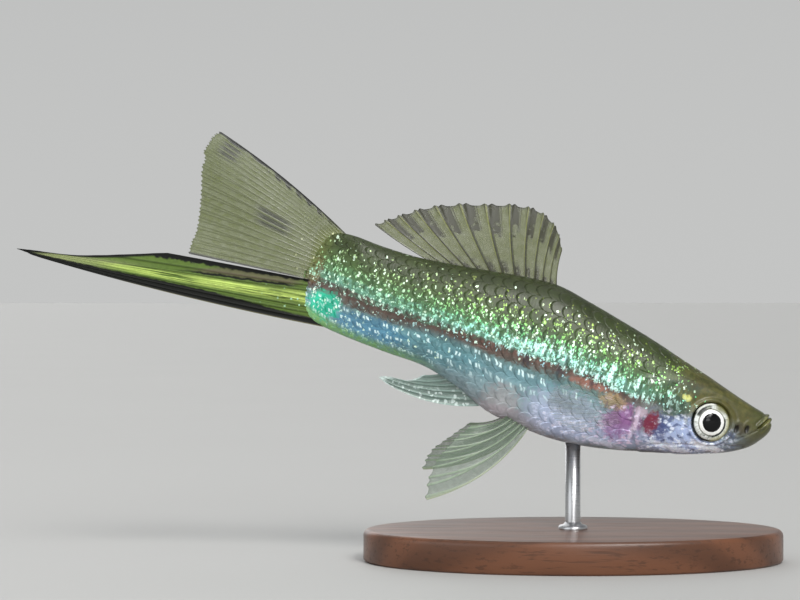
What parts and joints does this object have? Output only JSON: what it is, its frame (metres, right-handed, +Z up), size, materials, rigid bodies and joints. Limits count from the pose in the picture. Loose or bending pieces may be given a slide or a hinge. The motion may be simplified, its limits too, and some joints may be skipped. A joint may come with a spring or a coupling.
{
  "type": "swordtail fish model",
  "caption": "Life-size still model of a male green swordtail swimming nose down, with ribbed fins and a long sword, held on a rod over an oval display base.",
  "frame": {"origin": "middle of the underside of the stand's base", "axes": "+X towards the side that the snout points to, +Y to the fish's left, +Z up"},
  "size_m": [0.1205, 0.04, 0.0677],
  "materials": {
    "skin": "wet scaled skin, olive back, turquoise and silver flank, grey-white belly",
    "fin_membrane": "clear olive membrane between darker rays",
    "sword": "yellow-green streaks between black edges",
    "eye": "polished, silver iris round a black pupil",
    "stand_wood": "dark satin varnish",
    "stand_steel": "satin"
  },
  "bodies": {
    "root": {"head": "skin", "trunk": "skin", "tail_stalk": "skin", "dorsal_fin": "fin_membrane", "caudal_fin": "fin_membrane", "sword": "sword", "gonopodium": "fin_membrane", "pelvic_fin_right": "fin_membrane", "pelvic_fin_left": "fin_membrane", "pectoral_fin_right": "fin_membrane", "pectoral_fin_left": "fin_membrane", "eye_right": "eye", "eye_left": "eye", "stand_base": "stand_wood", "stand_rod": "stand_steel"}
  },
  "joints": []
}
